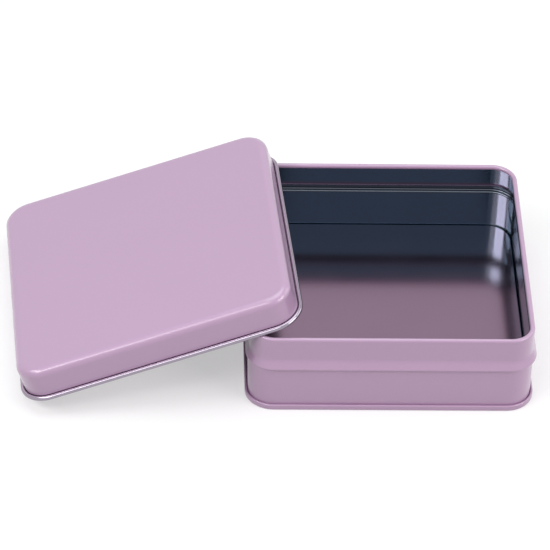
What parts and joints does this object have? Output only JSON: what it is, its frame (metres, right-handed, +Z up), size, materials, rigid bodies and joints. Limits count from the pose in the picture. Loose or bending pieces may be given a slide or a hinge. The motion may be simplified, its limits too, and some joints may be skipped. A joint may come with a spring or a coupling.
{
  "type": "square tin",
  "caption": "Square slip-lid tin with round corners, a stop bead and a seamed bottom, open and empty, its lid leaning on the rim.",
  "frame": {"origin": "on the table, below the middle of the box that holds the tin and its leaning lid", "axes": "+Z up, +X from the lid towards the tin along the tin's sides, +Y towards the tin's back"},
  "size_m": [0.246, 0.1442, 0.0611],
  "materials": {
    "tin_wall": "satin",
    "tin_bottom": "satin",
    "lid": "satin"
  },
  "bodies": {
    "root": {"tin_wall": "tin_wall", "tin_bottom": "tin_bottom", "lid": "lid"}
  },
  "joints": []
}
